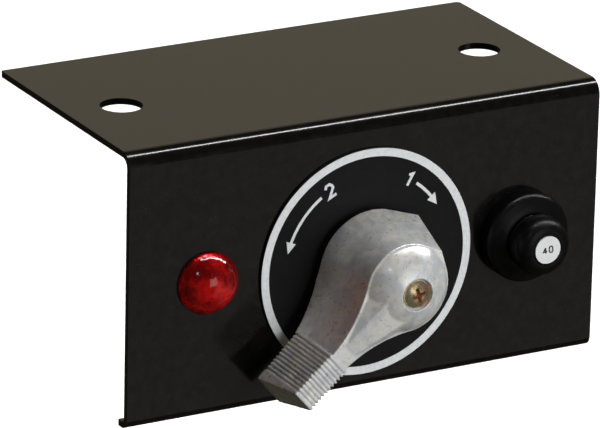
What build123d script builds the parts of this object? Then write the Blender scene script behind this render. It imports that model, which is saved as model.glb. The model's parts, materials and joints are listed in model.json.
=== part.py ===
from build123d import *
import os
from math import acos, atan2, cos, degrees, radians, sin, sqrt

os.makedirs("parts", exist_ok=True)

# Motor control panel: a folded steel bracket with a pilot light, a rotary reversing switch with a cast lever,
# and a push-to-reset breaker under a rubber boot. Millimetres. +X right, +Y to the rear, +Z up.
# The origin is midway between the two mounting holes, on the top face of the flange.

# ---- bracket ----
WIDTH = 152.4
FACE_HEIGHT = 82.2
FLANGE_DEPTH = 81.3
SHEET = 1.9
TOP_BEND_R = 4.5
LIP_BEND_R = 3.2
LIP_DEPTH = 5.2
FLANGE_HOLE_R = 6.2
FLANGE_HOLE_SPACING = 117.6
FLANGE_HOLE_SETBACK = 39.4
REAR_CORNER_R = (0.5, 1.4)
FACE_Y = -FLANGE_HOLE_SETBACK

# ---- where the three controls stand on the face, (x, z) ----
PILOT = (-51.4, -41.6)
SWITCH = (-0.4, -43.2)
BREAKER = (51.1, -42.9)

# Heights below are measured forward from the bracket's front face, so what lies behind the sheet is negative.
BACK = -SHEET

# ---- switch ----
DIAL_R = 34.1
DIAL_THICK = 0.9
RING_WIDTH = 2.4
PRINT = 0.12
MARK_R = 26.6
LEFT_ARROW = (125, 166)
RIGHT_ARROW = (54, 32)
LEFT_DIGIT_AT = 118
RIGHT_DIGIT_AT = 60
DIGIT_HEIGHT = 4.2
DIGIT_STROKE = 0.8
SHAFT_R = 4.75
SHAFT_TOP = 22.0
BEARING_R = 3.0
BUSHING_R = 7.0
BUSHING_TOP = 7.0
BUSHING_FLANGE = (11.0, 2.1)
LOCK_WASHER = (10.3, 0.8)
PANEL_NUT = (19.0, 3.5)
HOUSING_SIDE = 56.0
CAVITY_R = 25.0
COVER_REAR = BACK - 8.0
BODY_REAR = -43.0
FLOOR = -38.0
SCREW_SPREAD = 46.0
SCREW_R = 1.75
SCREW_HEAD = (3.0, 2.2)
BARRIER = (44.0, 2.4, 5.0)
STUD_SPREAD = 28.6
STUD_R = 2.4
SHANK_R = 2.65
STUD_LENGTH = 14.0
FINGER_INNER_R = 14.6
ROTOR_R = 13.0
ROTOR_GROOVE = 1.5
STRIP_THICK = 1.3
STRIP_ANGLE = 104
FINGER = (8.0, 1.4, 16.0)
FINGER_OUTER_R = 24.2
DETENT_R = 12.0
DETENT_STEP = 48.0
DETENT_LOW = -18.5
DETENT_HIGH = -14.5
NOTCH_CENTRE = 12.7
NOTCH_R = 1.8
RING_GROOVE = (-13.1, -12.05)
RING_GROOVE_R = 4.0

# ---- lever ----
ARM_ANGLE = 221.0
HUB_BACK = 3.7
HUB_FRONT = 24.6
HUB_BACK_R = 17.0
HUB_FRONT_R = 13.2
NOSE_BACK_R = 19.8
NOSE_FRONT_R = 14.4
ARM_BACK_HALF = 6.2
ARM_FRONT_HALF = 3.2
ARM_END = 34.5
NECK_R = 40.0
DOME_TOP = 31.2
RIDGE_FOOT = 24.2
RIDGE = ((4, 11.0, 5.0, 29.4), (24, 2.8, 2.2, 24.7))
CORE_R = 12.0
CORE_TOP = 11.0
UNDERSIDE = ((15.0, 0), (15.0, 3.9), (30, 6.9), (50, 8.4), (50, 0))
SCREW_SEAT = 28.9
SCREW_RECESS_R = 4.7
HANDLE_SCREW_R = 2.4
HANDLE_SCREW_HEAD = (4.0, 1.1, 2.2)
CROSS = (4.8, 1.25, 16)
CROSS_MIDDLE = 2.1
GRIP_START = 28.8
GRIP_END_BACK = 47.0
GRIP_END_FRONT = 43.8
GRIP_BACK_HALF = 5.8
GRIP_FRONT_HALF = 4.0
GRIP_FRONT = 25.0
GRIP_BACK = 6.5
RIB_COUNT = 11
RIB_DEPTH = 0.55
RIB_GROOVE = 0.6

# ---- pilot light ----
LENS_R = 9.15
LENS_HEIGHT = 6.8
LENS_WALL = 1.5
LENS_BORE_R = 7.35
LENS_RIM = 1.2
PILOT_TUBE_R = 6.3
PILOT_BORE_R = 5.0
PILOT_REAR = -24.0
PILOT_NUT = (17.0, 3.0)
BULB_R = 3.4
TAB = (0.8, 4.75, 16.0)
TAB_HOLE_R = 0.8

# ---- breaker ----
COLLAR_R = 13.4
BOOT_R = 8.7
BOOT_FRONT = 15.5
DISC_R = 4.15
BREAKER_BUSHING_R = 5.8
BREAKER_CASE = (30.0, 42.0)
BREAKER_CAVITY = (22.0, 32.0)
CASE_REAR = -30.0
BREAKER_REAR = -34.0
BREAKER_STUD_SPREAD = 24.0
BREAKER_STUD_LENGTH = 12.0
BREAKER_SCREW_R = 1.4
BREAKER_SCREW_HEAD = (2.4, 1.6)
BREAKER_BARRIER = (26.0, 2.4, 6.0)
PLUNGER_R = 3.5
DISC_THICK = 0.6
NUMBER_HEADING = 97
NUMBER_HEIGHT = 2.0
NUMBER_PITCH = 2.0
NUMBER_STROKE = 0.36
NUMBER_RAISED = 0.08
SPRING_WIRE_R = 0.28
SPRING_R = 4.3
POST_R = 3.0
BLADE_R = 8.5
BLADE_LOW = -22.75
BLADE_HIGH = -22.1

# ---- small hardware ----
NUT_AF = 9.5
NUT_THICK = 3.2
WASHER_R = 4.6
WASHER_THICK = 0.8
FIT = 0.04
HOLE_GAP = 0.15


def across(centre, height=0.0):
    """A plane square to a control's axis: local X right, local Y up, its normal towards the operator."""
    return Plane(origin=(centre[0], FACE_Y - height, centre[1]), x_dir=(1, 0, 0), z_dir=(0, -1, 0))


def through(centre):
    """A plane through a control's axis: local X is the radius, local Y the height in front of the face."""
    return Plane(origin=(centre[0], FACE_Y, centre[1]), x_dir=(1, 0, 0), z_dir=(0, 0, -1))


def axis_of(centre):
    return Axis((centre[0], FACE_Y, centre[1]), (0, -1, 0))


def turn(centre, *outline, mode=Mode.ADD):
    """Turns (radius, height) corners about a control's axis, into the open BuildPart."""
    with BuildSketch(through(centre)) as section:
        with BuildLine():
            Polyline(*outline, close=True)
        make_face()
    revolve(section.sketch, axis=axis_of(centre), mode=mode)


def tube(centre, low, high, outer, inner=0.0, mode=Mode.ADD):
    """A plain ring or disc between two heights."""
    turn(centre, (inner, low), (outer, low), (outer, high), (inner, high), mode=mode)


def bar(centre, low, high, spots, radius, mode=Mode.ADD):
    """Round bars along the axis, one at each spot."""
    with BuildSketch(across(centre, low)) as section:
        with Locations(*spots):
            Circle(radius)
    extrude(section.sketch, amount=high - low, mode=mode)


def hexagons(centre, low, high, spots, flats, bore):
    """Plain hexagon nuts along the axis, one at each spot."""
    with BuildSketch(across(centre, low)) as section:
        with Locations(*spots):
            RegularPolygon(radius=flats / 2, side_count=6, major_radius=False)
            Circle(bore, mode=Mode.SUBTRACT)
    extrude(section.sketch, amount=high - low)


def slab(centre, low, high, size_x, size_y, corner=0.0, mode=Mode.ADD):
    """A block with rounded long edges, centred on a control's axis."""
    with BuildSketch(across(centre, low)) as section:
        if corner:
            RectangleRounded(size_x, size_y, corner)
        else:
            Rectangle(size_x, size_y)
    extrude(section.sketch, amount=high - low, mode=mode)


def cap(edge, top):
    """An arc from an edge (radius, height) up to the axis, round a centre that lies on the axis."""
    rise = top - edge[1]
    ball_r = (edge[0] ** 2 + rise**2) / (2 * rise)
    half_angle = atan2(edge[0], ball_r - rise) / 2
    middle = (ball_r * sin(half_angle), top - ball_r + ball_r * cos(half_angle))
    ThreePointArc(edge, middle, (0, top))


def write(builder, label):
    builder.part.label = label
    export_step(builder.part, f"parts/{label}.step")


def four_corners(spread):
    half = spread / 2
    return [(x, y) for x in (-half, half) for y in (-half, half)]


def on_circle(radius, angle):
    return (radius * cos(radians(angle)), radius * sin(radians(angle)))


# ======================= bracket =======================

with BuildPart() as panel_bracket:
    rear = FACE_Y + FLANGE_DEPTH
    lip = FACE_Y + LIP_DEPTH
    with BuildSketch(Plane.YZ.offset(-WIDTH / 2)):
        with BuildLine():
            FilletPolyline(
                (rear, 0),
                (FACE_Y, 0),
                (FACE_Y, -FACE_HEIGHT),
                (lip, -FACE_HEIGHT),
                (lip, -FACE_HEIGHT + SHEET),
                (FACE_Y + SHEET, -FACE_HEIGHT + SHEET),
                (FACE_Y + SHEET, -SHEET),
                (rear, -SHEET),
                radius=[0, TOP_BEND_R, LIP_BEND_R, 0, 0, LIP_BEND_R - SHEET, TOP_BEND_R - SHEET, 0],
                close=True,
            )
        make_face()
    extrude(amount=WIDTH)
    fillet(panel_bracket.edges().filter_by(Axis.Z).group_by(Axis.Y)[-1].sort_by(Axis.X)[-1], REAR_CORNER_R[1])
    fillet(panel_bracket.edges().filter_by(Axis.Z).group_by(Axis.Y)[-1].sort_by(Axis.X)[0], REAR_CORNER_R[0])
    with BuildSketch(Plane.XY):
        with GridLocations(FLANGE_HOLE_SPACING, 1, 2, 1):
            Circle(FLANGE_HOLE_R)
    extrude(amount=-SHEET, mode=Mode.SUBTRACT)
    tube(SWITCH, BACK, 0, BUSHING_R + HOLE_GAP, mode=Mode.SUBTRACT)
    tube(PILOT, BACK, 0, PILOT_TUBE_R + HOLE_GAP, mode=Mode.SUBTRACT)
    tube(BREAKER, BACK, 0, BREAKER_BUSHING_R + HOLE_GAP, mode=Mode.SUBTRACT)
write(panel_bracket, "panel_bracket")

# ======================= dial =======================

with BuildPart() as dial_plate:
    tube(SWITCH, 0, DIAL_THICK, DIAL_R, BUSHING_R + HOLE_GAP)
write(dial_plate, "dial_plate")

with BuildPart() as dial_ring:
    tube(SWITCH, DIAL_THICK, DIAL_THICK + PRINT, DIAL_R, DIAL_R - RING_WIDTH)
write(dial_ring, "dial_ring")


def arrow(start, end, width=0.9, head_width=3.2, head_length=3.4):
    """A curved arrow round the dial from one angle to another, its point at the end angle."""
    turn_way = 1 if end > start else -1
    neck = end - turn_way * degrees(head_length / MARK_R)
    with BuildLine() as shaft:
        CenterArc((0, 0), MARK_R, start, neck - start)
    trace(shaft.line, line_width=width)
    with BuildLine() as head:
        Polyline(
            on_circle(MARK_R + head_width / 2, neck),
            on_circle(MARK_R, end),
            on_circle(MARK_R - head_width / 2, neck),
            close=True,
        )
    make_face(head.line)


DIGIT_STROKES = {
    "0": [[(0.02, 0.46), (-0.12, 0.46), (-0.28, 0.3), (-0.28, -0.3), (-0.12, -0.46), (0.02, -0.46)],
          [(-0.02, 0.46), (0.12, 0.46), (0.28, 0.3), (0.28, -0.3), (0.12, -0.46), (-0.02, -0.46)]],
    "1": [[(-0.2, 0.26), (0.06, 0.46), (0.06, -0.46)]],
    "2": [[(-0.28, 0.26), (-0.14, 0.46), (0.14, 0.46), (0.28, 0.26), (0.28, 0.1), (-0.28, -0.46), (0.3, -0.46)]],
    "4": [[(0.12, -0.46), (0.12, 0.46)],
          [(0.12, 0.42), (-0.3, -0.16), (0.32, -0.16)]],
}


def digit(name, middle, height, heading, weight):
    """A plain stroke numeral, its upright turned to the heading."""
    up = (cos(radians(heading)), sin(radians(heading)))
    right = (up[1], -up[0])
    for stroke in DIGIT_STROKES[name]:
        corners = [
            (
                middle[0] + height * (x * right[0] + y * up[0]),
                middle[1] + height * (x * right[1] + y * up[1]),
            )
            for x, y in stroke
        ]
        with BuildLine() as path:
            Polyline(*corners)
        trace(path.line, line_width=weight)


with BuildPart() as dial_marks:
    with BuildSketch(across(SWITCH, DIAL_THICK)):
        arrow(*LEFT_ARROW)
        arrow(*RIGHT_ARROW)
        digit("2", on_circle(MARK_R, LEFT_DIGIT_AT), DIGIT_HEIGHT, LEFT_DIGIT_AT, DIGIT_STROKE)
        digit("1", on_circle(MARK_R, RIGHT_DIGIT_AT), DIGIT_HEIGHT, RIGHT_DIGIT_AT, DIGIT_STROKE)
    extrude(amount=PRINT)
write(dial_marks, "dial_marks")

# ======================= lever =======================

ARM = (cos(radians(ARM_ANGLE)), 0, sin(radians(ARM_ANGLE)))
SIDE = (-ARM[2], 0, ARM[0])
LEVER_ORIGIN = Vector(SWITCH[0], FACE_Y, SWITCH[1])


def lever_plan(height):
    """Square to the lever's axis: local X along the arm, local Y across it."""
    return Plane(origin=LEVER_ORIGIN + Vector(0, -height, 0), x_dir=ARM, z_dir=(0, -1, 0))


LEVER_SIDE = Plane(origin=LEVER_ORIGIN, x_dir=ARM, z_dir=(ARM[2], 0, -ARM[0]))


def grip_section(along):
    """Square to the arm: local X across it, local Y forward."""
    return Plane(origin=LEVER_ORIGIN + Vector(*ARM) * along, x_dir=SIDE, z_dir=ARM)


def middle_of_arc(centre, radius, angle_a, angle_b):
    middle = radians((angle_a + angle_b) / 2)
    return (centre[0] + radius * cos(middle), centre[1] + radius * sin(middle))


def lever_outline(hub_r, nose_r, half):
    """Keyhole seen from the front: pointer nose, round hub, hollow neck, straight arm."""
    tangent = degrees(acos(hub_r / nose_r))
    neck_x = sqrt((hub_r + NECK_R) ** 2 - (half + NECK_R) ** 2)
    neck_angle = degrees(atan2(half + NECK_R, neck_x))
    nose = (-nose_r, 0)
    for way in (1, -1):
        shoulder = (hub_r * cos(radians(180 - tangent)), way * hub_r * sin(radians(180 - tangent)))
        hub_mid = middle_of_arc((0, 0), hub_r, 180 - tangent, neck_angle)
        hub_end = (hub_r * cos(radians(neck_angle)), way * hub_r * sin(radians(neck_angle)))
        neck_mid = middle_of_arc((neck_x, half + NECK_R), NECK_R, neck_angle - 180, -90)
        neck_end = (neck_x, way * half)
        Line(nose, shoulder)
        ThreePointArc(shoulder, (hub_mid[0], way * hub_mid[1]), hub_end)
        ThreePointArc(hub_end, (neck_mid[0], way * neck_mid[1]), neck_end)
        Line(neck_end, (ARM_END, way * half))
    Line((ARM_END, half), (ARM_END, -half))


def grip_outline(end, half):
    Polyline((GRIP_START, -half), (end, -half), (end, half), (GRIP_START, half), close=True)


with BuildPart() as lever_handle:
    with BuildSketch(lever_plan(HUB_BACK)):
        with BuildLine():
            lever_outline(HUB_BACK_R, NOSE_BACK_R, ARM_BACK_HALF)
        make_face()
    with BuildSketch(lever_plan(HUB_FRONT)):
        with BuildLine():
            lever_outline(HUB_FRONT_R, NOSE_FRONT_R, ARM_FRONT_HALF)
        make_face()
    loft()
    with BuildSketch(lever_plan(GRIP_BACK)):
        with BuildLine():
            grip_outline(GRIP_END_BACK, GRIP_BACK_HALF)
        make_face()
    with BuildSketch(lever_plan(GRIP_FRONT)):
        with BuildLine():
            grip_outline(GRIP_END_FRONT, GRIP_FRONT_HALF)
        make_face()
    loft()
    # The underside of the arm stands clear of the dial.
    with BuildSketch(LEVER_SIDE):
        with BuildLine():
            Polyline(*UNDERSIDE, close=True)
        make_face()
    extrude(amount=15, both=True, mode=Mode.SUBTRACT)
    # Front dome with a seat for the screw.
    with BuildSketch(through(SWITCH)) as dome:
        with BuildLine():
            Line((0, DOME_TOP), (0, HUB_FRONT - 1))
            Line((0, HUB_FRONT - 1), (HUB_FRONT_R - 0.4, HUB_FRONT - 1))
            Line((HUB_FRONT_R - 0.4, HUB_FRONT - 1), (HUB_FRONT_R - 0.4, HUB_FRONT))
            cap((HUB_FRONT_R - 0.4, HUB_FRONT), DOME_TOP)
        make_face()
    revolve(axis=axis_of(SWITCH))
    # A ridge carries the dome down into the neck.
    for along, foot_half, top_half, top in RIDGE:
        with BuildSketch(grip_section(along)):
            with BuildLine():
                Polyline(
                    (-foot_half, RIDGE_FOOT), (foot_half, RIDGE_FOOT),
                    (top_half, top), (-top_half, top), close=True,
                )
            make_face()
    loft()
    # Ribs round the grip.
    pitch = (GRIP_END_FRONT - GRIP_START - 1.2) / RIB_COUNT
    for rib in range(RIB_COUNT):
        with BuildSketch(grip_section(GRIP_START + 0.9 + rib * pitch)):
            with Locations((0, 16)):
                Rectangle(30, 22)
            with BuildLine():
                Polyline(
                    (-GRIP_BACK_HALF - 0.6, 4),
                    (GRIP_BACK_HALF + 0.6, 4),
                    (GRIP_BACK_HALF - RIB_DEPTH, GRIP_BACK),
                    (GRIP_FRONT_HALF - RIB_DEPTH, GRIP_FRONT - RIB_DEPTH),
                    (-GRIP_FRONT_HALF + RIB_DEPTH, GRIP_FRONT - RIB_DEPTH),
                    (-GRIP_BACK_HALF + RIB_DEPTH, GRIP_BACK),
                    close=True,
                )
            make_face(mode=Mode.SUBTRACT)
        extrude(amount=RIB_GROOVE, mode=Mode.SUBTRACT)
    # Cored underside over the panel nut, bore for the shaft, screw hole and its seat.
    tube(SWITCH, HUB_BACK - 1, CORE_TOP, CORE_R, mode=Mode.SUBTRACT)
    tube(SWITCH, CORE_TOP - 1, SHAFT_TOP + 0.3, SHAFT_R + FIT, mode=Mode.SUBTRACT)
    tube(SWITCH, SHAFT_TOP - 1, DOME_TOP + 1, HANDLE_SCREW_R + 0.2, mode=Mode.SUBTRACT)
    tube(SWITCH, SCREW_SEAT, DOME_TOP + 1, SCREW_RECESS_R, mode=Mode.SUBTRACT)
write(lever_handle, "lever_handle")

SCREW_TIP = 12.0

with BuildPart() as handle_screw:
    head_r, rim, crown = HANDLE_SCREW_HEAD
    cross_long, cross_wide, cross_turn = CROSS
    with BuildSketch(through(SWITCH)):
        with BuildLine():
            Line((0, SCREW_TIP), (HANDLE_SCREW_R, SCREW_TIP))
            Line((HANDLE_SCREW_R, SCREW_TIP), (HANDLE_SCREW_R, SCREW_SEAT))
            Line((HANDLE_SCREW_R, SCREW_SEAT), (head_r, SCREW_SEAT))
            Line((head_r, SCREW_SEAT), (head_r, SCREW_SEAT + rim))
            cap((head_r, SCREW_SEAT + rim), SCREW_SEAT + crown)
            Line((0, SCREW_SEAT + crown), (0, SCREW_TIP))
        make_face()
    revolve(axis=axis_of(SWITCH))
    with BuildSketch(across(SWITCH, SCREW_SEAT + crown + 0.2)):
        Rectangle(cross_long, cross_wide, rotation=cross_turn)
        Rectangle(cross_wide, cross_long, rotation=cross_turn)
        Rectangle(CROSS_MIDDLE, CROSS_MIDDLE, rotation=cross_turn + 45)
    extrude(amount=-2.2, taper=14, mode=Mode.SUBTRACT)
write(handle_screw, "handle_screw")

# ======================= switch behind the face =======================

with BuildPart() as switch_bushing:
    tube(SWITCH, COVER_REAR, BUSHING_TOP, BUSHING_R, SHAFT_R + 0.07)
    tube(SWITCH, COVER_REAR - BUSHING_FLANGE[1], COVER_REAR, BUSHING_FLANGE[0], SHAFT_R + 0.07)
write(switch_bushing, "switch_bushing")

with BuildPart() as switch_lock_washer:
    washer_r, washer_thick = LOCK_WASHER
    washer_top = DIAL_THICK + washer_thick
    tube(SWITCH, DIAL_THICK, washer_top, washer_r, BUSHING_R + HOLE_GAP)
    gaps = [on_circle(washer_r + 0.3, tooth * 30) for tooth in range(12)]
    bar(SWITCH, DIAL_THICK, washer_top, gaps, 0.7, mode=Mode.SUBTRACT)
write(switch_lock_washer, "switch_lock_washer")

with BuildPart() as switch_nut:
    hexagons(SWITCH, washer_top, washer_top + PANEL_NUT[1], [(0, 0)], PANEL_NUT[0], BUSHING_R + FIT)
    chamfer(switch_nut.edges().filter_by(GeomType.LINE).group_by(Axis.Y)[0], 0.5)
write(switch_nut, "switch_nut")

HOUSING_SPOTS = four_corners(SCREW_SPREAD)
STUD_SPOTS = four_corners(STUD_SPREAD)

with BuildPart() as switch_cover:
    slab(SWITCH, COVER_REAR, BACK, HOUSING_SIDE, HOUSING_SIDE, 5.0)
    fillet(switch_cover.faces().sort_by(Axis.Y)[0].edges(), 1.0)
    tube(SWITCH, COVER_REAR, BACK, BUSHING_R + FIT, mode=Mode.SUBTRACT)
    bar(SWITCH, COVER_REAR, COVER_REAR + 5.6, HOUSING_SPOTS, SCREW_R + FIT, mode=Mode.SUBTRACT)
write(switch_cover, "switch_cover")

with BuildPart() as switch_body:
    slab(SWITCH, BODY_REAR, COVER_REAR, HOUSING_SIDE, HOUSING_SIDE, 5.0)
    tube(SWITCH, FLOOR, COVER_REAR, CAVITY_R, mode=Mode.SUBTRACT)
    tube(SWITCH, FLOOR - 3, FLOOR, BEARING_R + 0.07, mode=Mode.SUBTRACT)
    bar(SWITCH, BODY_REAR, COVER_REAR, HOUSING_SPOTS, SCREW_R + FIT, mode=Mode.SUBTRACT)
    bar(SWITCH, BODY_REAR, FLOOR, STUD_SPOTS, SHANK_R + FIT, mode=Mode.SUBTRACT)
    # Barrier ribs between the terminals.
    with BuildSketch(across(SWITCH, BODY_REAR)):
        Rectangle(BARRIER[0], BARRIER[1])
        Rectangle(BARRIER[1], BARRIER[0])
    extrude(amount=-BARRIER[2])
write(switch_body, "switch_body")

with BuildPart() as housing_screws:
    head_r, head_height = SCREW_HEAD
    bar(SWITCH, BODY_REAR, COVER_REAR + 5.0, HOUSING_SPOTS, SCREW_R)
    bar(SWITCH, BODY_REAR - head_height, BODY_REAR, HOUSING_SPOTS, head_r)
    fillet(housing_screws.faces().sort_by(Axis.Y)[-4:].edges(), 0.8)
    with BuildSketch(across(SWITCH, BODY_REAR - head_height)):
        with Locations(*HOUSING_SPOTS):
            Rectangle(3.6, 0.8)
            Rectangle(0.8, 3.6)
    extrude(amount=1.2, mode=Mode.SUBTRACT)
write(housing_screws, "housing_screws")

with BuildPart() as switch_shaft:
    tube(SWITCH, FLOOR + 1.5, SHAFT_TOP, SHAFT_R)
    tube(SWITCH, FLOOR - 2.6, FLOOR + 1.5, BEARING_R)
    tube(SWITCH, RING_GROOVE[0], RING_GROOVE[1], SHAFT_R, RING_GROOVE_R, mode=Mode.SUBTRACT)
    tube(SWITCH, SCREW_TIP - 4, SHAFT_TOP, HANDLE_SCREW_R + FIT, mode=Mode.SUBTRACT)
write(switch_shaft, "switch_shaft")

with BuildPart() as retaining_ring:
    tube(SWITCH, RING_GROOVE[0] + 0.1, RING_GROOVE[1] - 0.1, 7.8, RING_GROOVE_R + FIT)
    with BuildSketch(across(SWITCH, RING_GROOVE[0])):
        with Locations((0, -6)):
            Rectangle(5.0, 8.0)
    extrude(amount=1.2, mode=Mode.SUBTRACT)
write(retaining_ring, "retaining_ring")

with BuildPart() as detent_wheel:
    tube(SWITCH, DETENT_LOW, DETENT_HIGH, DETENT_R, SHAFT_R + FIT)
    notches = [on_circle(NOTCH_CENTRE, 90 - step * DETENT_STEP) for step in range(3)]
    bar(SWITCH, DETENT_LOW, DETENT_HIGH, notches, NOTCH_R, mode=Mode.SUBTRACT)
write(detent_wheel, "detent_wheel")

with BuildPart() as detent_spring:
    with BuildSketch(across(SWITCH, DETENT_LOW)):
        with Locations((0, NOTCH_CENTRE)):
            Circle(NOTCH_R - 0.3)
        with Locations((0, NOTCH_CENTRE + 1.6)):
            Rectangle(40.4, 0.5)
    extrude(amount=DETENT_HIGH - DETENT_LOW)
write(detent_spring, "detent_spring")

with BuildPart() as contact_rotor:
    tube(SWITCH, FLOOR + 2.0, -20.0, ROTOR_R, SHAFT_R + FIT)
    tube(SWITCH, -30.0, -26.0, ROTOR_R, ROTOR_R - ROTOR_GROOVE, mode=Mode.SUBTRACT)
write(contact_rotor, "contact_rotor")

with BuildPart() as moving_contacts:
    with BuildSketch(across(SWITCH, -34.0)):
        for middle in (90, 270):
            with BuildLine():
                outer = CenterArc((0, 0), ROTOR_R + STRIP_THICK, middle - STRIP_ANGLE / 2, STRIP_ANGLE)
                inner = CenterArc((0, 0), ROTOR_R + FIT, middle - STRIP_ANGLE / 2, STRIP_ANGLE)
                Line(outer @ 0, inner @ 0)
                Line(outer @ 1, inner @ 1)
            make_face()
    extrude(amount=12)
write(moving_contacts, "moving_contacts")

with BuildPart() as fixed_contacts:
    finger_width, finger_thick, finger_rise = FINGER
    with BuildSketch(across(SWITCH, FLOOR)):
        with PolarLocations((FINGER_INNER_R + FINGER_OUTER_R) / 2, 4, start_angle=45):
            Rectangle(FINGER_OUTER_R - FINGER_INNER_R, finger_width)
        with Locations(*STUD_SPOTS):
            Circle(SHANK_R + FIT, mode=Mode.SUBTRACT)
    extrude(amount=1.5)
    with BuildSketch(across(SWITCH, FLOOR)):
        with PolarLocations(FINGER_INNER_R + finger_thick / 2, 4, start_angle=45):
            Rectangle(finger_thick, finger_width)
    extrude(amount=finger_rise)
write(fixed_contacts, "fixed_contacts")


def studs(centre, spots, head_r, floor, rear, length):
    """Headed studs: the head clamps a contact inside, the threaded end stands free behind its nut."""
    shoulder = rear - WASHER_THICK - NUT_THICK - 0.3
    bar(centre, rear - length, shoulder, spots, STUD_R)
    bar(centre, shoulder, floor, spots, SHANK_R)
    bar(centre, floor, floor + 1.8, spots, head_r)


def washers(centre, spots, front):
    bar(centre, front - WASHER_THICK, front, spots, WASHER_R)
    bar(centre, front - WASHER_THICK, front, spots, SHANK_R + 0.2, mode=Mode.SUBTRACT)


with BuildPart() as terminal_studs:
    studs(SWITCH, STUD_SPOTS, 3.7, FLOOR + 1.5, BODY_REAR, STUD_LENGTH)
write(terminal_studs, "terminal_studs")

with BuildPart() as stud_washers:
    washers(SWITCH, STUD_SPOTS, BODY_REAR)
write(stud_washers, "stud_washers")

with BuildPart() as stud_nuts:
    front = BODY_REAR - WASHER_THICK
    hexagons(SWITCH, front - NUT_THICK, front, STUD_SPOTS, NUT_AF, SHANK_R + FIT)
write(stud_nuts, "stud_nuts")

# ======================= pilot light =======================

with BuildPart() as pilot_lens:
    with BuildSketch(through(PILOT)):
        with BuildLine():
            Line((LENS_BORE_R, 0), (LENS_R, 0))
            Line((LENS_R, 0), (LENS_R, LENS_RIM))
            cap((LENS_R, LENS_RIM), LENS_HEIGHT)
            Line((0, LENS_HEIGHT), (0, LENS_HEIGHT - LENS_WALL))
            cap((LENS_BORE_R, LENS_RIM), LENS_HEIGHT - LENS_WALL)
            Line((LENS_BORE_R, LENS_RIM), (LENS_BORE_R, 0))
        make_face()
    revolve(axis=axis_of(PILOT))
write(pilot_lens, "pilot_lens")

with BuildPart() as pilot_body:
    tube(PILOT, PILOT_REAR, 1.0, PILOT_TUBE_R, PILOT_BORE_R)
    tube(PILOT, 0, 1.0, LENS_BORE_R - 0.1, PILOT_BORE_R)
write(pilot_body, "pilot_body")

with BuildPart() as pilot_nut:
    hexagons(PILOT, BACK - PILOT_NUT[1], BACK, [(0, 0)], PILOT_NUT[0], PILOT_TUBE_R + FIT)
write(pilot_nut, "pilot_nut")

with BuildPart() as pilot_bulb:
    with BuildSketch(through(PILOT)):
        with BuildLine():
            Line((0, -7), (BULB_R, -7))
            Line((BULB_R, -7), (BULB_R, 0.2))
            cap((BULB_R, 0.2), 3.6)
            Line((0, 3.6), (0, -7))
        make_face()
    revolve(axis=axis_of(PILOT))
write(pilot_bulb, "pilot_bulb")

with BuildPart() as bulb_base:
    turn(PILOT, (0, -17), (2, -17), (4.6, -15.5), (4.6, -7), (0, -7))
write(bulb_base, "bulb_base")

TAB_SPOTS = [(-2.4, 0), (2.4, 0)]
TAB_THICK, TAB_WIDE, TAB_LONG = TAB

with BuildPart() as pilot_insulator:
    tube(PILOT, PILOT_REAR, PILOT_REAR + 4, PILOT_BORE_R - FIT)
    with BuildSketch(across(PILOT, PILOT_REAR)):
        with Locations(*TAB_SPOTS):
            Rectangle(TAB_THICK + 0.1, TAB_WIDE + 0.1)
    extrude(amount=4, mode=Mode.SUBTRACT)
write(pilot_insulator, "pilot_insulator")

with BuildPart() as pilot_tabs:
    with BuildSketch(across(PILOT, PILOT_REAR - 10)):
        with Locations(*TAB_SPOTS):
            Rectangle(TAB_THICK, TAB_WIDE)
    extrude(amount=TAB_LONG)
    with BuildSketch(Plane.YZ.offset(PILOT[0])):
        with Locations((FACE_Y - PILOT_REAR + 6, PILOT[1])):
            Circle(TAB_HOLE_R)
    extrude(amount=6, both=True, mode=Mode.SUBTRACT)
write(pilot_tabs, "pilot_tabs")

# ======================= breaker =======================

with BuildPart() as boot_collar:
    bore = BREAKER_BUSHING_R + FIT
    turn(
        BREAKER,
        (bore, 0), (COLLAR_R, 0), (COLLAR_R, 4.5), (COLLAR_R - 0.6, 5.1),
        (9.9, 6.6), (8.3, 6.9), (8.0, 6.9), (8.0, 3.0), (bore, 3.0),
    )
write(boot_collar, "boot_collar")

with BuildPart() as reset_boot:
    with BuildSketch(through(BREAKER)):
        with BuildLine():
            Polyline(
                (6.0, 3.0), (7.96, 3.0), (7.96, 6.9), (7.5, 7.1), (7.5, 7.8), (BOOT_R, 8.4), (BOOT_R, 12.1)
            )
            ThreePointArc((BOOT_R, 12.1), (7.7, 14.5), (5.3, BOOT_FRONT))
            Polyline(
                (5.3, BOOT_FRONT), (DISC_R + FIT, BOOT_FRONT), (DISC_R + FIT, BOOT_FRONT - DISC_THICK),
                (0, BOOT_FRONT - DISC_THICK), (0, 13.2), (5.0, 13.2), (6.0, 12.2), (6.0, 3.0),
            )
        make_face()
    revolve(axis=axis_of(BREAKER))
write(reset_boot, "reset_boot")

with BuildPart() as rating_disc:
    tube(BREAKER, BOOT_FRONT - DISC_THICK, BOOT_FRONT, DISC_R)
write(rating_disc, "rating_disc")

with BuildPart() as rating_number:
    with BuildSketch(across(BREAKER, BOOT_FRONT)):
        for name, side in (("4", 90), ("0", -90)):
            middle = on_circle(NUMBER_PITCH / 2, NUMBER_HEADING + side)
            digit(name, middle, NUMBER_HEIGHT, NUMBER_HEADING, NUMBER_STROKE)
    extrude(amount=NUMBER_RAISED)
write(rating_number, "rating_number")

with BuildPart() as breaker_bushing:
    tube(BREAKER, -7.0, 4.0, BREAKER_BUSHING_R, PLUNGER_R + 0.08)
    tube(BREAKER, -7.0, -5.4, 8.0, PLUNGER_R + 0.08)
write(breaker_bushing, "breaker_bushing")

with BuildPart() as reset_plunger:
    turn(
        BREAKER,
        (0, -16), (2.2, -16), (2.2, -9.1), (5.2, -9.1), (5.2, -7.1),
        (PLUNGER_R, -7.1), (PLUNGER_R, 9.5), (4.6, 9.5), (4.6, 13.15), (0, 13.15),
    )
write(reset_plunger, "reset_plunger")

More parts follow.
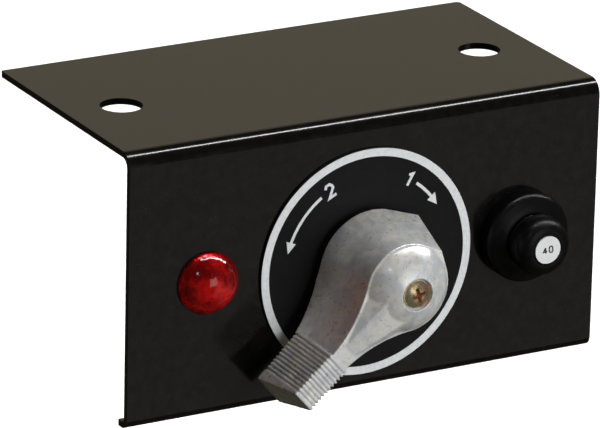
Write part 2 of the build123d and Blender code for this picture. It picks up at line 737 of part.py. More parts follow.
SPRING_LOW = 4.0 + SPRING_WIRE_R
SPRING_HIGH = 9.5 - SPRING_WIRE_R

with BuildPart() as reset_spring:
    with BuildLine() as coil:
        Helix(
            pitch=(SPRING_HIGH - SPRING_LOW) / 4,
            height=SPRING_HIGH - SPRING_LOW,
            radius=SPRING_R,
            center=(BREAKER[0], FACE_Y - SPRING_LOW, BREAKER[1]),
            direction=(0, -1, 0),
        )
    with BuildSketch(Plane(origin=coil.line @ 0, z_dir=coil.line % 0)):
        Circle(SPRING_WIRE_R)
    sweep(path=coil.line, is_frenet=True)
write(reset_spring, "reset_spring")

CASE_SPOTS = [(x, y) for x in (-12.2, 12.2) for y in (-18.2, 18.2)]
BREAKER_STUDS = [(0, -BREAKER_STUD_SPREAD / 2), (0, BREAKER_STUD_SPREAD / 2)]

with BuildPart() as breaker_case:
    slab(BREAKER, CASE_REAR, BACK, BREAKER_CASE[0], BREAKER_CASE[1], 3.0)
    slab(BREAKER, CASE_REAR, -5.4, BREAKER_CAVITY[0], BREAKER_CAVITY[1], 4.0, mode=Mode.SUBTRACT)
    tube(BREAKER, -5.4, BACK, BREAKER_BUSHING_R + FIT, mode=Mode.SUBTRACT)
    bar(BREAKER, CASE_REAR, -12, CASE_SPOTS, BREAKER_SCREW_R + FIT, mode=Mode.SUBTRACT)
write(breaker_case, "breaker_case")

with BuildPart() as breaker_cover:
    slab(BREAKER, BREAKER_REAR, CASE_REAR, BREAKER_CASE[0], BREAKER_CASE[1], 3.0)
    bar(BREAKER, BREAKER_REAR, CASE_REAR, CASE_SPOTS, BREAKER_SCREW_R + FIT, mode=Mode.SUBTRACT)
    bar(BREAKER, BREAKER_REAR, CASE_REAR, BREAKER_STUDS, SHANK_R + FIT, mode=Mode.SUBTRACT)
    # Barrier between the two terminals.
    with BuildSketch(across(BREAKER, BREAKER_REAR)):
        Rectangle(BREAKER_BARRIER[0], BREAKER_BARRIER[1])
    extrude(amount=-BREAKER_BARRIER[2])
write(breaker_cover, "breaker_cover")

with BuildPart() as breaker_screws:
    head_r, head_height = BREAKER_SCREW_HEAD
    bar(BREAKER, BREAKER_REAR, -12.5, CASE_SPOTS, BREAKER_SCREW_R)
    bar(BREAKER, BREAKER_REAR - head_height, BREAKER_REAR, CASE_SPOTS, head_r)
    fillet(breaker_screws.faces().sort_by(Axis.Y)[-4:].edges(), 0.6)
write(breaker_screws, "breaker_screws")

with BuildPart() as bimetal_post:
    tube(BREAKER, CASE_REAR, BLADE_LOW - 0.05, POST_R)
    tube(BREAKER, BLADE_LOW - 0.05, BLADE_HIGH + 0.1, POST_R - 1.2)
    tube(BREAKER, BLADE_HIGH + 0.1, BLADE_HIGH + 0.9, POST_R)
write(bimetal_post, "bimetal_post")

with BuildPart() as bimetal_disc:
    tube(BREAKER, BLADE_LOW, BLADE_HIGH, BLADE_R, POST_R - 1.14)
write(bimetal_disc, "bimetal_disc")

PAD_SPOTS = [(0, -6.0), (0, 6.0)]

with BuildPart() as bimetal_contacts:
    bar(BREAKER, BLADE_LOW - 1.45, BLADE_LOW - 0.01, PAD_SPOTS, 1.7)
write(bimetal_contacts, "bimetal_contacts")

with BuildPart() as breaker_contacts:
    with BuildSketch(across(BREAKER, CASE_REAR)):
        with Locations((0, -9.9), (0, 9.9)):
            Rectangle(7, 11.4)
        with Locations(*BREAKER_STUDS):
            Circle(SHANK_R + FIT, mode=Mode.SUBTRACT)
    extrude(amount=1.2)
    bar(BREAKER, CASE_REAR + 1.2, BLADE_LOW - 1.5, PAD_SPOTS, 1.8)
write(breaker_contacts, "breaker_contacts")

with BuildPart() as breaker_studs:
    studs(BREAKER, BREAKER_STUDS, 3.6, CASE_REAR + 1.2, BREAKER_REAR, BREAKER_STUD_LENGTH)
write(breaker_studs, "breaker_studs")

with BuildPart() as breaker_washers:
    washers(BREAKER, BREAKER_STUDS, BREAKER_REAR)
write(breaker_washers, "breaker_washers")

with BuildPart() as breaker_nuts:
    front = BREAKER_REAR - WASHER_THICK
    hexagons(BREAKER, front - NUT_THICK, front, BREAKER_STUDS, NUT_AF, SHANK_R + FIT)
write(breaker_nuts, "breaker_nuts")
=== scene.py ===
import json
from math import cos, pi, radians, sin, sqrt

import bmesh
import bpy
from mathutils import Matrix, Vector


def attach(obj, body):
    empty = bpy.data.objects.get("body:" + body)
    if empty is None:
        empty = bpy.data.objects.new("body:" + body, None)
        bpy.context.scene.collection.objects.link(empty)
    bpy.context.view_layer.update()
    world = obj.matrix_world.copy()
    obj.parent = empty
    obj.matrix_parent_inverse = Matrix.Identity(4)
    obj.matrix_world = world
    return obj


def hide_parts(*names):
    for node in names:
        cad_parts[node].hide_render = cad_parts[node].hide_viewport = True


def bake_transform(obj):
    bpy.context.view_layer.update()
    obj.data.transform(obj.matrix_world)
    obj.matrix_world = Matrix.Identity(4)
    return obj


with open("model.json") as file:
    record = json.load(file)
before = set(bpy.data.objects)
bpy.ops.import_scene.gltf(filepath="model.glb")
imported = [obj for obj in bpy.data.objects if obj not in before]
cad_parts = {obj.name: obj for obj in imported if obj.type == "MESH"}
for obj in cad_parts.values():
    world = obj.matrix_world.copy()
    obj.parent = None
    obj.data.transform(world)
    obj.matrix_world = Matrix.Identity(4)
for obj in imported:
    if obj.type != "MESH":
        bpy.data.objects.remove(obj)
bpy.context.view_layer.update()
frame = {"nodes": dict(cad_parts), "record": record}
NODES = frame["nodes"]
MM = 0.001
AXIS_R = 0.001
THREAD_DEPTH = 0.54
THREAD_STEPS = 8
END_CHAMFER = 0.5
NUT_LIP = 0.4

# The controls stand on the panel's front face. Each axis runs along -Y, and heights are in mm in front of it.
FACE_Y = -39.4
PILOT = (-51.4, -41.6)
SWITCH = (-0.4, -43.2)
BREAKER = (51.1, -42.9)
FLOOR_Z = -0.75
FLOOR_HALF = 6


# ======================= mesh building =======================

def place(centre, radius, angle, height):
    """A point round a control's axis, in metres."""
    return Vector((
        (centre[0] + radius * cos(angle)) * MM,
        (FACE_Y - height) * MM,
        (centre[1] + radius * sin(angle)) * MM,
    ))


def make(name, verts, faces, finish, body, smooth_angle=35):
    """A mesh object with smooth shading that breaks at sharp edges, riding on a body."""
    mesh = bpy.data.meshes.new(name)
    mesh.from_pydata(verts, [], faces)
    bm = bmesh.new()
    bm.from_mesh(mesh)
    bmesh.ops.remove_doubles(bm, verts=bm.verts, dist=1e-7)
    bmesh.ops.recalc_face_normals(bm, faces=bm.faces)
    bm.to_mesh(mesh)
    bm.free()
    mesh.shade_smooth()
    mesh.set_sharp_from_angle(angle=radians(smooth_angle))
    piece = bpy.data.objects.new(name, mesh)
    bpy.context.scene.collection.objects.link(piece)
    piece.data.materials.append(finish)
    if body:
        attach(piece, body)
    return piece


def grid(rows, closed=False):
    """Faces between rings of equally many points. closed joins the last ring to the first."""
    count = len(rows[0])
    verts = [p for row in rows for p in row]
    faces = []
    steps = len(rows) if closed else len(rows) - 1
    for i in range(steps):
        a, b = i * count, ((i + 1) % len(rows)) * count
        for j in range(count):
            k = (j + 1) % count
            faces.append((a + j, a + k, b + k, b + j))
    return verts, faces


def soften(outline, radius, steps=4):
    """Rounds the corners of a (radius, height) outline."""
    out = [outline[0]]
    for before, corner, after in zip(outline, outline[1:], outline[2:]):
        v, a, b = Vector(corner), Vector(before), Vector(after)
        reach_a = min(radius, (a - v).length / 2)
        reach_b = min(radius, (b - v).length / 2)
        start = v + (a - v).normalized() * reach_a
        end = v + (b - v).normalized() * reach_b
        for i in range(steps + 1):
            t = i / steps
            point = start * (1 - t) ** 2 + v * 2 * t * (1 - t) + end * t ** 2
            out.append((point.x, point.y))
    out.append(outline[-1])
    return out


def divide(outline, step):
    """Adds points so that no stretch of the outline is longer than a step."""
    out = [outline[0]]
    for a, b in zip(outline, outline[1:]):
        length = sqrt((b[0] - a[0]) ** 2 + (b[1] - a[1]) ** 2)
        parts = max(1, round(length / step))
        for i in range(1, parts + 1):
            out.append((a[0] + (b[0] - a[0]) * i / parts, a[1] + (b[1] - a[1]) * i / parts))
    return out


def ring(centre, radius, height, segments):
    return [place(centre, radius, 2 * pi * j / segments, height) for j in range(segments)]


def lathe(name, centre, outline, finish, body, segments=96, smooth_angle=35):
    rows = [ring(centre, r, h, segments) for r, h in outline]
    verts, faces = grid(rows)
    return make(name, verts, faces, finish, body, smooth_angle)


def join(name, parts, body):
    """One object from several, in the order given."""
    target = parts[0]
    bm = bmesh.new()
    for part in parts:
        bm.from_mesh(part.data)
    mesh = bpy.data.meshes.new(name)
    bm.to_mesh(mesh)
    bm.free()
    mesh.materials.append(target.data.materials[0])
    piece = bpy.data.objects.new(name, mesh)
    bpy.context.scene.collection.objects.link(piece)
    for part in parts:
        bpy.data.objects.remove(part)
    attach(piece, body)
    return piece


def offset(centre, spot):
    return (centre[0] + spot[0], centre[1] + spot[1])


def threaded_rod(name, centre, low, high, radius, pitch, finish, head, inner=AXIS_R, segments=40):
    """A bar with a rolled thread, chamfered at its low end. head is a (radius, low, high) disc on top."""
    depth = pitch * THREAD_DEPTH
    steps = round((high - low) / pitch * THREAD_STEPS)
    rows = [ring(centre, inner, low, segments)]
    for i in range(steps + 1):
        h = low + (high - low) * i / steps
        taper = max(0.0, END_CHAMFER - (h - low))
        row = []
        for j in range(segments):
            phase = ((h - low) / pitch + j / segments) % 1
            crest = abs(2 * phase - 1)
            cut = depth * min(1.0, max(0.0, 1.15 * crest - 0.05))
            row.append(place(centre, min(radius - cut, radius - taper), 2 * pi * j / segments, h))
        rows.append(row)
    head_r, head_low, head_high = head
    for r, h in ((head_r, head_low), (head_r, head_high), (inner, head_high)):
        rows.append(ring(centre, r, h, segments))
    verts, faces = grid(rows)
    return make(name, verts, faces, finish, "panel", 50)


def hexagon_nut(name, centre, low, high, flats, bore, finish, segments=96):
    """A nut with both faces chamfered to a cone and a countersunk bore."""
    apothem = flats / 2
    washer_r = apothem * 0.96
    rows = [[] for _ in range(10)]
    for j in range(segments):
        angle = 2 * pi * j / segments
        sector = (angle + pi / 6) % (pi / 3) - pi / 6
        edge = apothem / cos(sector)
        drop = max(0.0, edge - washer_r) * 0.5
        for row, (r, h) in zip(rows, (
            (bore, low + NUT_LIP), (bore + NUT_LIP, low), (washer_r, low), (edge - 0.12, low + drop * 0.85),
            (edge, low + drop + 0.08), (edge, high - drop - 0.08), (edge - 0.12, high - drop * 0.85),
            (washer_r, high), (bore + NUT_LIP, high), (bore, high - NUT_LIP),
        )):
            row.append(place(centre, r, angle, h))
    verts, faces = grid(rows, closed=True)
    return make(name, verts, faces, finish, "panel", 28)


# ======================= materials =======================

class Finish:
    """A Principled material wired from noise, ramps and bumps in object space."""

    def __init__(self, name, base, roughness, metallic=0.0, **sockets):
        self.material = bpy.data.materials.new(name)
        self.material.use_nodes = True
        self.tree = self.material.node_tree
        self.shader = self.tree.nodes["Principled BSDF"]
        self.shader.inputs["Base Color"].default_value = (*base, 1)
        self.shader.inputs["Roughness"].default_value = roughness
        self.shader.inputs["Metallic"].default_value = metallic
        for socket, value in sockets.items():
            self.shader.inputs[socket.replace("_", " ")].default_value = value
        self.coords = self.tree.nodes.new("ShaderNodeTexCoord").outputs["Object"]
        self.normal = None

    def link(self, a, b):
        self.tree.links.new(a, b)

    def noise(self, size_mm, detail=4.0, seed=0.0, distortion=0.0):
        """Soft noise, its features about size_mm across."""
        node = self.tree.nodes.new("ShaderNodeTexNoise")
        node.inputs["Scale"].default_value = 1000 / size_mm
        node.inputs["Detail"].default_value = detail
        node.inputs["Distortion"].default_value = distortion
        mapping = self.tree.nodes.new("ShaderNodeMapping")
        mapping.inputs["Location"].default_value = (seed, seed * 0.7, seed * 1.3)
        self.link(self.coords, mapping.inputs["Vector"])
        self.link(mapping.outputs["Vector"], node.inputs["Vector"])
        return node.outputs["Fac"]

    def edges(self, low, high):
        """0 in hollows and on flats, 1 on outer edges."""
        node = self.tree.nodes.new("ShaderNodeNewGeometry")
        return self.spread(node.outputs["Pointiness"], low, high)

    def spread(self, value, low, high, to_low=0.0, to_high=1.0):
        node = self.tree.nodes.new("ShaderNodeMapRange")
        node.inputs["From Min"].default_value = low
        node.inputs["From Max"].default_value = high
        node.inputs["To Min"].default_value = to_low
        node.inputs["To Max"].default_value = to_high
        self.link(value, node.inputs["Value"])
        return node.outputs["Result"]

    def mix(self, fac, a, b):
        node = self.tree.nodes.new("ShaderNodeMix")
        node.data_type = "RGBA"
        self.link(fac, node.inputs["Factor"])
        for index, value in ((6, a), (7, b)):
            if isinstance(value, tuple):
                node.inputs[index].default_value = (*value, 1)
            else:
                self.link(value, node.inputs[index])
        return node.outputs[2]

    def color(self, value):
        self.link(value, self.shader.inputs["Base Color"])

    def rough(self, value):
        self.link(value, self.shader.inputs["Roughness"])

    def bump(self, height, depth_mm):
        node = self.tree.nodes.new("ShaderNodeBump")
        node.inputs["Distance"].default_value = depth_mm * MM
        self.link(height, node.inputs["Height"])
        if self.normal is not None:
            self.link(self.normal, node.inputs["Normal"])
        self.normal = node.outputs["Normal"]
        self.link(self.normal, self.shader.inputs["Normal"])


def powder_coat():
    """Satin black powder coat: fine orange peel, faint warm mottling and specks of dust."""
    f = Finish("powder_coat", (0.006, 0.0055, 0.006), 0.15, Specular_IOR_Level=0.45)
    mottle = f.spread(f.noise(2.4, 5), 0.35, 0.7)
    body = f.mix(mottle, (0.0020, 0.0019, 0.0022), (0.0066, 0.0054, 0.0046))
    specks = f.spread(f.noise(0.35, 2, seed=3.0), 0.70, 0.78)
    f.color(f.mix(specks, body, (0.05, 0.045, 0.04)))
    f.rough(f.spread(f.noise(9, 3, seed=1.0), 0.3, 0.7, 0.12, 0.17))
    f.bump(f.noise(0.9, 3), 0.005)
    f.bump(f.noise(0.3, 2, seed=2.0), 0.002)
    return f.material


def dial_face():
    """Smooth moulded black."""
    f = Finish("dial_face", (0.004, 0.004, 0.0045), 0.5, Specular_IOR_Level=0.3)
    f.color(f.mix(f.noise(1.2, 4), (0.0030, 0.0030, 0.0032), (0.0085, 0.0085, 0.0088)))
    f.rough(f.spread(f.noise(3, 3), 0.3, 0.7, 0.42, 0.58))
    f.bump(f.noise(0.3, 3), 0.006)
    return f.material


def white_ink():
    f = Finish("white_ink", (0.8, 0.82, 0.83), 0.45)
    f.color(f.mix(f.spread(f.noise(1.1, 5), 0.3, 0.7), (0.72, 0.745, 0.76), (0.85, 0.865, 0.87)))
    f.rough(f.spread(f.noise(0.6, 3), 0.3, 0.7, 0.38, 0.55))
    f.bump(f.noise(0.25, 3), 0.004)
    return f.material


def cast_metal():
    """Tumbled die-cast lever: dull patchy grey, with a painted highlight that whitens its edges."""
    f = Finish("cast_metal", (0.7, 0.7, 0.68), 0.34, metallic=0.35)
    cloud = f.spread(f.noise(5, 5, distortion=0.8), 0.38, 0.62)
    grey = f.mix(cloud, (0.72, 0.75, 0.80), (0.97, 0.96, 0.91))
    stain = f.spread(f.noise(2.0, 6, seed=4.0, distortion=1.0), 0.5, 0.72)
    grey = f.mix(stain, grey, (0.74, 0.70, 0.62))
    # Outer edges are painted near-white: a painted highlight along the creases, standing in for glints.
    f.color(f.mix(f.edges(0.54, 0.60), grey, (1.0, 1.0, 0.99)))
    f.rough(f.spread(f.noise(1.6, 5, seed=7.0), 0.3, 0.7, 0.24, 0.44))
    f.bump(f.noise(3.0, 2), 0.05)
    f.bump(f.noise(0.7, 2, seed=5.0), 0.004)
    return f.material


def yellow_zinc():
    """Yellow passivated zinc, with its drifting rainbow."""
    f = Finish("yellow_zinc", (0.8, 0.6, 0.4), 0.3, metallic=0.9)
    warm = f.mix(f.spread(f.noise(5.0, 2), 0.44, 0.56), (0.90, 0.80, 0.52), (0.92, 0.56, 0.40))
    f.color(f.mix(f.spread(f.noise(3.4, 2, seed=2.0), 0.55, 0.66), warm, (0.40, 0.40, 0.16)))
    f.rough(f.spread(f.noise(0.6, 3), 0.3, 0.7, 0.2, 0.36))
    f.bump(f.noise(0.5, 3), 0.006)
    return f.material


def plated(name, light, dark, low, high, grain=0.3):
    """Plated or drawn metal with a little tarnish."""
    f = Finish(name, light, low, metallic=1.0)
    f.color(f.mix(f.spread(f.noise(1.8, 4), 0.35, 0.7), light, dark))
    f.rough(f.spread(f.noise(0.8, 3, seed=1.0), 0.3, 0.7, low, high))
    f.bump(f.noise(grain, 3), 0.006)
    return f.material


def moulded(name, light, dark, low, high, grain=0.35, depth=0.012, specular=0.4):
    """Moulded plastic, phenolic or rubber: fine matt grain with flow marks."""
    f = Finish(name, light, low, Specular_IOR_Level=specular)
    f.color(f.mix(f.spread(f.noise(3.5, 4, distortion=0.8), 0.35, 0.7), light, dark))
    f.rough(f.spread(f.noise(1.5, 3, seed=1.0), 0.3, 0.7, low, high))
    f.bump(f.noise(grain, 3), depth)
    return f.material


def red_lens():
    """Clear red moulded lens, its surface a little wavy."""
    f = Finish("red_lens", (0.6, 0.002, 0.005), 0.04, Transmission_Weight=0.6, IOR=1.49)
    body = f.mix(f.spread(f.noise(7.0, 2, seed=1.0), 0.42, 0.58), (0.90, 0.012, 0.012), (0.30, 0.001, 0.003))
    f.color(f.mix(f.spread(f.noise(1.4, 3), 0.45, 0.75), body, (0.40, 0.002, 0.005)))
    f.rough(f.spread(f.noise(1.0, 3), 0.3, 0.7, 0.02, 0.08))
    f.bump(f.noise(3.2, 2), 0.16)
    return f.material


def clear_glass():
    f = Finish("clear_glass", (0.95, 0.95, 0.93), 0.02, Transmission_Weight=1.0, IOR=1.5)
    f.color(f.mix(f.noise(1.5, 3), (0.96, 0.95, 0.93), (0.85, 0.84, 0.80)))
    f.bump(f.noise(1.4, 2), 0.004)
    return f.material


FINISHES = {
    "black_steel": powder_coat(),
    "dial_black": dial_face(),
    "white_print": white_ink(),
    "cast_lever": cast_metal(),
    "yellow_zinc": yellow_zinc(),
    "zinc_steel": plated("zinc_steel", (0.62, 0.63, 0.64), (0.42, 0.44, 0.48), 0.24, 0.42),
    "brass": plated("brass", (0.72, 0.52, 0.24), (0.50, 0.34, 0.15), 0.24, 0.42),
    "copper": plated("copper", (0.78, 0.42, 0.28), (0.50, 0.24, 0.15), 0.25, 0.45),
    "black_phenolic": moulded("black_phenolic", (0.016, 0.015, 0.015), (0.009, 0.009, 0.010), 0.30, 0.45),
    "brown_phenolic": moulded("brown_phenolic", (0.050, 0.022, 0.012), (0.028, 0.012, 0.007), 0.30, 0.45),
    "steel": plated("steel", (0.52, 0.52, 0.51), (0.36, 0.36, 0.37), 0.25, 0.40),
    "spring_steel": plated("spring_steel", (0.46, 0.46, 0.47), (0.30, 0.30, 0.33), 0.22, 0.36),
    "red_lens": red_lens(),
    "clear_glass": clear_glass(),
    "black_nylon": moulded("black_nylon", (0.014, 0.014, 0.015), (0.008, 0.008, 0.009), 0.38, 0.55),
    "black_rubber": moulded(
        "black_rubber", (0.0045, 0.0042, 0.0045), (0.0022, 0.0022, 0.0024), 0.30, 0.42, 0.5, 0.008, 0.2
    ),
    "white_plastic": moulded("white_plastic", (0.86, 0.87, 0.87), (0.80, 0.81, 0.81), 0.35, 0.5),
    "bimetal": plated("bimetal", (0.60, 0.52, 0.44), (0.44, 0.38, 0.34), 0.25, 0.4),
}

SLOTS = {part["node"]: part["material_slot"] for part in frame["record"]["subparts"]}
for node_name, node in NODES.items():
    node.data.materials.clear()
    node.data.materials.append(FINISHES[SLOTS[node_name]])


def stands_for(piece, slot, *nodes):
    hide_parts(*nodes)
    return piece


# ======================= lever =======================

VOXEL = 0.25 * MM


def cast_lever():
    """The lever as it leaves the tumbler: every edge of the plain form worn soft."""
    mesh = NODES["lever_handle"].data.copy()
    mesh.materials.clear()
    mesh.materials.append(FINISHES["cast_lever"])
    piece = bpy.data.objects.new("cast_lever", mesh)
    bpy.context.scene.collection.objects.link(piece)
    remesh = piece.modifiers.new("soften", "REMESH")
    remesh.mode = "VOXEL"
    remesh.voxel_size = VOXEL
    remesh.use_smooth_shade = True
    smooth = piece.modifiers.new("smooth", "SMOOTH")
    smooth.factor = 0.5
    smooth.iterations = 6
    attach(piece, "handle")
    return piece


stands_for(cast_lever(), "cast_lever", "lever_handle")

# ======================= reset button =======================

BOOT_OUTLINE = (
    (6.05, 3.05), (7.9, 3.05), (7.9, 6.9), (7.35, 7.15), (7.35, 7.85), (8.35, 8.3), (8.7, 8.8),
    (8.7, 12.1), (8.25, 13.6), (7.1, 14.9), (5.5, 15.5), (4.75, 15.5), (4.3, 15.25), (4.3, 14.95),
    (AXIS_R, 14.9), (AXIS_R, 13.25), (5.0, 13.25), (5.95, 12.2), (5.95, 3.05), (6.05, 3.05),
)
BOOT_FOLD = (7.6, 11.5)


def squash(piece, centre, low, high):
    """Bakes a piece's placement into its mesh; it holds nothing to the panel or the button."""
    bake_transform(piece)


def boot():
    outline = divide(soften(BOOT_OUTLINE, 0.7), 0.25)
    piece = lathe("rubber_boot", BREAKER, outline, FINISHES["black_rubber"], None, 120, 60)
    squash(piece, BREAKER, *BOOT_FOLD)
    return piece


stands_for(boot(), "black_rubber", "reset_boot")


def coil(name, centre, low, high, radius, wire, turns, finish):
    """A coil spring that runs up a control's axis, squashed between the panel and the button."""
    steps, sides = turns * 36, 10
    rows = []
    for i in range(steps + 1):
        angle = 2 * pi * turns * i / steps
        height = low + (high - low) * i / steps
        rows.append([
            place(centre, radius + wire * cos(turn), angle, height + wire * sin(turn))
            for turn in [2 * pi * k / sides for k in range(sides)]
        ])
    verts, faces = grid(rows)
    faces += [tuple(range(sides)), tuple(range(steps * sides, (steps + 1) * sides))]
    piece = make(name, verts, faces, finish, None, 60)
    squash(piece, centre, low, high)
    return piece


SPRING_WIRE = 0.28
SPRING_R = 4.3
SPRING_LOW, SPRING_HIGH = 4.0 + SPRING_WIRE, 9.5 - SPRING_WIRE
return_spring = coil(
    "return_spring", BREAKER, SPRING_LOW, SPRING_HIGH, SPRING_R, SPRING_WIRE, 4, FINISHES["spring_steel"]
)
stands_for(return_spring, "spring_steel", "reset_spring")

COLLAR_OUTLINE = (
    (5.86, 0.02), (13.1, 0.02), (13.4, 0.4), (13.4, 4.2), (12.7, 5.2), (9.9, 6.5), (8.6, 6.9), (8.0, 6.9),
    (8.0, 3.02), (5.86, 3.02), (5.86, 0.02),
)
collar_curve = soften(COLLAR_OUTLINE, 0.55)
collar = lathe("rubber_collar", BREAKER, collar_curve, FINISHES["black_rubber"], "panel", 120, 50)
stands_for(collar, "black_rubber", "boot_collar")


# ======================= pilot light =======================

LENS_R = 9.15
LENS_TOP = 6.8
LENS_RISE = 5.6
LENS_INNER_R = 7.3
LENS_INNER_TOP = 5.1
LENS_INNER_RISE = 4.0
LENS_RINGS = (AXIS_R, 0.9, 1.8, 2.7, 3.6, 4.5, 5.4, 6.3, 6.9, LENS_INNER_R)
PRISM_DEPTH = 0.55
PRISM_STEP = 0.3
PRISM_COUNT = 18


def cap_height(radius, rim, rise, top):
    """Height of a spherical cap at a radius from its axis."""
    ball = (rim ** 2 + rise ** 2) / (2 * rise)
    return top - ball + sqrt(max(0.0, ball ** 2 - radius ** 2))


def lens():
    """A domed lens, its inside moulded into rings of small prisms that catch the light."""
    segments = 144
    outer = [(LENS_R, 0.02), (LENS_R, 1.0)]
    for i in range(1, 17):
        r = LENS_R * (1 - i / 17)
        outer.append((r, cap_height(r, LENS_R, LENS_RISE, LENS_TOP)))
    outer.append((AXIS_R, LENS_TOP))
    rows = [ring(PILOT, r, h, segments) for r, h in outer]
    for i, r in enumerate(LENS_RINGS):
        row = []
        for j in range(segments):
            ridge = PRISM_DEPTH * abs((j / segments * PRISM_COUNT) % 1 - 0.5) + (PRISM_STEP if i % 2 else 0.0)
            if not 0.5 < r < 7.0:
                ridge = 0.0
            h = cap_height(r, LENS_INNER_R, LENS_INNER_RISE, LENS_INNER_TOP) - ridge
            row.append(place(PILOT, r, 2 * pi * j / segments, max(h, 0.6)))
        rows.append(row)
    rows.append(ring(PILOT, LENS_INNER_R + 0.05, 0.02, segments))
    verts, faces = grid(rows, closed=True)
    return make("red_lens", verts, faces, FINISHES["red_lens"], "panel", 25)


stands_for(lens(), "red_lens", "pilot_lens")

PILOT_TUBE_R = 6.3
PILOT_BORE_R = 5.0
FLANGE_OUTLINE = ((PILOT_BORE_R, 0.03), (7.2, 0.03), (7.2, 1.0), (PILOT_BORE_R, 1.0), (PILOT_BORE_R, 0.03))
pilot_tube = threaded_rod(
    "pilot_tube", PILOT, -24, -2.0, PILOT_TUBE_R, 1.0, FINISHES["black_nylon"],
    head=(PILOT_TUBE_R, -1.6, 0.02), inner=PILOT_BORE_R, segments=64,
)
flange = lathe("pilot_flange", PILOT, soften(FLANGE_OUTLINE, 0.15), FINISHES["black_nylon"], "panel")
stands_for(join("pilot_housing", [pilot_tube, flange], "panel"), "black_nylon", "pilot_body")
pilot_nut = hexagon_nut(
    "pilot_hex_nut", PILOT, -4.9, -1.92, 17.0, PILOT_TUBE_R + 0.04, FINISHES["zinc_steel"]
)
stands_for(pilot_nut, "zinc_steel", "pilot_nut")

# ======================= terminals =======================


STUD_R = 2.4
STUD_PITCH = 0.8
STUD_HEAD_THICK = 1.8
NUT_FLATS = 9.5
NUT_REAR = 4.0
NUT_FRONT = 0.82


def terminals(name, centre, spots, rear, tip, floor, head_r, stud_node, nut_node):
    """Studs headed on a housing's floor with their tips free, and a nut on each behind the rear face."""
    brass = FINISHES["brass"]
    rods, nuts = [], []
    for i, spot in enumerate(spots):
        at = offset(centre, spot)
        head = (head_r, floor, floor + STUD_HEAD_THICK)
        rods.append(threaded_rod(f"{name}_stud_{i}", at, tip, floor, STUD_R, STUD_PITCH, brass, head))
        low, high = rear - NUT_REAR, rear - NUT_FRONT
        nuts.append(hexagon_nut(f"{name}_nut_{i}", at, low, high, NUT_FLATS, STUD_R, brass))
    stands_for(join(f"{name}_threads", rods, "panel"), "brass", stud_node)
    stands_for(join(f"{name}_hex_nuts", nuts, "panel"), "brass", nut_node)


SWITCH_STUDS = [(x, z) for x in (-14.3, 14.3) for z in (-14.3, 14.3)]
BREAKER_STUDS = [(0, -12), (0, 12)]
terminals("switch", SWITCH, SWITCH_STUDS, -43, -57, -36.5, 3.7, "terminal_studs", "stud_nuts")
terminals("breaker", BREAKER, BREAKER_STUDS, -34, -46, -28.8, 3.6, "breaker_studs", "breaker_nuts")

# ======================= floor, light and camera =======================

floor_finish = Finish("floor_paint", (0.9, 0.9, 0.9), 0.8, Specular_IOR_Level=0.1)
floor_finish.color(floor_finish.mix(floor_finish.noise(40, 3), (0.90, 0.90, 0.90), (0.92, 0.92, 0.92)))
floor_mesh = bpy.data.meshes.new("floor")
floor_corners = [(x * FLOOR_HALF, y * FLOOR_HALF, FLOOR_Z) for x, y in ((-1, -1), (1, -1), (1, 1), (-1, 1))]
floor_mesh.from_pydata(floor_corners, [], [(0, 1, 2, 3)])
floor_mesh.materials.append(floor_finish.material)
floor = bpy.data.objects.new("floor", floor_mesh)
bpy.context.scene.collection.objects.link(floor)

world = bpy.data.worlds.new("studio")
world.use_nodes = True
bpy.context.scene.world = world
sky = world.node_tree
ray = sky.nodes.new("ShaderNodeTexCoord").outputs["Generated"]


def sky_band(direction, low, high, to_low, to_high):
    """Brightness that changes along a direction of the sky."""
    along = sky.nodes.new("ShaderNodeVectorMath")
    along.operation = "DOT_PRODUCT"
    along.inputs[1].default_value = direction
    sky.links.new(ray, along.inputs[0])
    band = sky.nodes.new("ShaderNodeMapRange")
    band.interpolation_type = "SMOOTHSTEP"
    ends = (low, high, to_low, to_high)
    for socket, value in zip(("From Min", "From Max", "To Min", "To Max"), ends):
        band.inputs[socket].default_value = value
    sky.links.new(along.outputs["Value"], band.inputs["Value"])
    return band.outputs["Result"]


# Dim all round, with one bright patch behind the panel: what the flange reflects towards the camera.
SKY_LEVEL = 0.045
glow = sky_band((0.46, 0.82, 0.34), 0.90, 0.985, 0.0, 0.36)
total = sky.nodes.new("ShaderNodeMath")
total.operation = "ADD"
total.inputs[1].default_value = SKY_LEVEL
sky.links.new(glow, total.inputs[0])
sky.links.new(total.outputs["Value"], sky.nodes["Background"].inputs["Strength"])
sky.nodes["Background"].inputs["Color"].default_value = (1.0, 0.88, 0.66, 1)

# The floor is only a backdrop: it throws no light back and shows in no reflection.
floor.visible_glossy = False
floor.visible_diffuse = False
scene = bpy.context.scene
scene.view_settings.view_transform = "Standard"
scene.view_settings.look = "None"


def softbox(name, position, aim, size, radiance, color=(1, 1, 1)):
    """A rectangular light of a given brightness, turned to a point, its first side level along X."""
    data = bpy.data.lights.new(name, "AREA")
    data.shape = "RECTANGLE"
    data.size, data.size_y = size
    data.energy = radiance * pi * size[0] * size[1]
    data.color = color
    lamp = bpy.data.objects.new(name, data)
    scene.collection.objects.link(lamp)
    lamp.visible_camera = False
    lamp.location = position
    backward = (Vector(position) - Vector(aim)).normalized()
    across = (Vector((1, 0, 0)) - backward * backward.x).normalized()
    lamp.rotation_mode = "QUATERNION"
    lamp.rotation_quaternion = Matrix((across, backward.cross(across), backward)).transposed().to_quaternion()
    return lamp


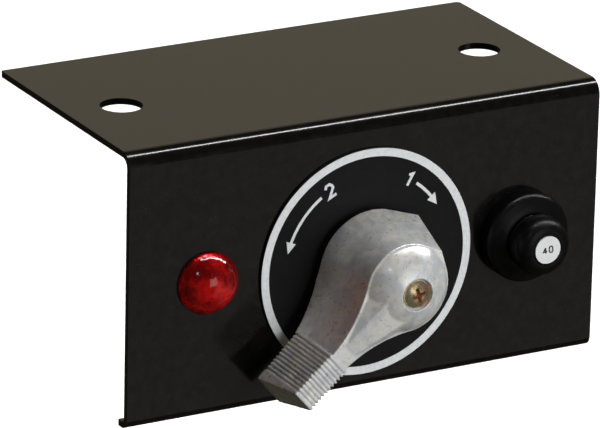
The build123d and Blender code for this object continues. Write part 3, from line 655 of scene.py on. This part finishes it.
COOL = (0.97, 0.99, 1.0)
WARM = (1.0, 0.98, 0.95)
SUBJECT = (0, 0, -0.04)

# Lights that brighten a surface without showing in it: over the floor, in front, above, and for the back.
for lamp in (
    softbox("backdrop", (1.1, 2.1, 1.2), (1.1, 2.1, 0), (3.0, 3.0), 2.9),
    softbox("fill", (1.0, -2.3, 0.5), SUBJECT, (1.8, 1.6), 6.4, COOL),
    softbox("overhead", (0.0, -0.3, 2.0), (0, 0, 0), (1.6, 1.6), 0.3),
    softbox("rear", (-0.6, 2.4, 0.9), SUBJECT, (1.8, 1.4), 4.0),
):
    lamp.visible_glossy = False

# Lights that only show in a surface: the line along the bend, and the glints on the lens and the lever.
for lamp in (
    softbox("strip", (0.62, -0.10, 1.2), (0, 0, 0), (2.0, 0.11), 30.0),
    softbox("front", (0.22, -1.7, 0.15), SUBJECT, (0.7, 0.7), 1.6, COOL),
    softbox("front_left", (-1.3, -1.6, 1.5), (0, 0, -0.05), (0.3, 0.3), 6.0, WARM),
):
    lamp.visible_diffuse = False

# The card does both, low on the right in front of the lever.
softbox("card", (0.70, -1.15, -0.55), (0, 0, -0.05), (1.0, 1.0), 0.24, WARM)

CAMERA_TARGET = Vector((-0.0152, -0.0305, -0.0255))
CAMERA_AZIMUTH = -29.28
CAMERA_ELEVATION = 19.91
CAMERA_ROLL = 1.36
CAMERA_DISTANCE = 1.70

camera_data = bpy.data.cameras.new("camera")
camera_data.sensor_width = 36
camera_data.lens = 359.1
camera_data.shift_x = -0.0098
camera_data.shift_y = -0.0225
camera = bpy.data.objects.new("camera", camera_data)
scene.collection.objects.link(camera)
scene.camera = camera
azimuth, elevation = radians(CAMERA_AZIMUTH), radians(CAMERA_ELEVATION)
back = Vector((sin(azimuth) * cos(elevation), -cos(azimuth) * cos(elevation), sin(elevation)))
camera.rotation_mode = "QUATERNION"
camera.rotation_quaternion = (
    (-back).to_track_quat("-Z", "Y") @ Matrix.Rotation(radians(CAMERA_ROLL), 3, "Z").to_quaternion()
)
camera.location = CAMERA_TARGET + back * CAMERA_DISTANCE
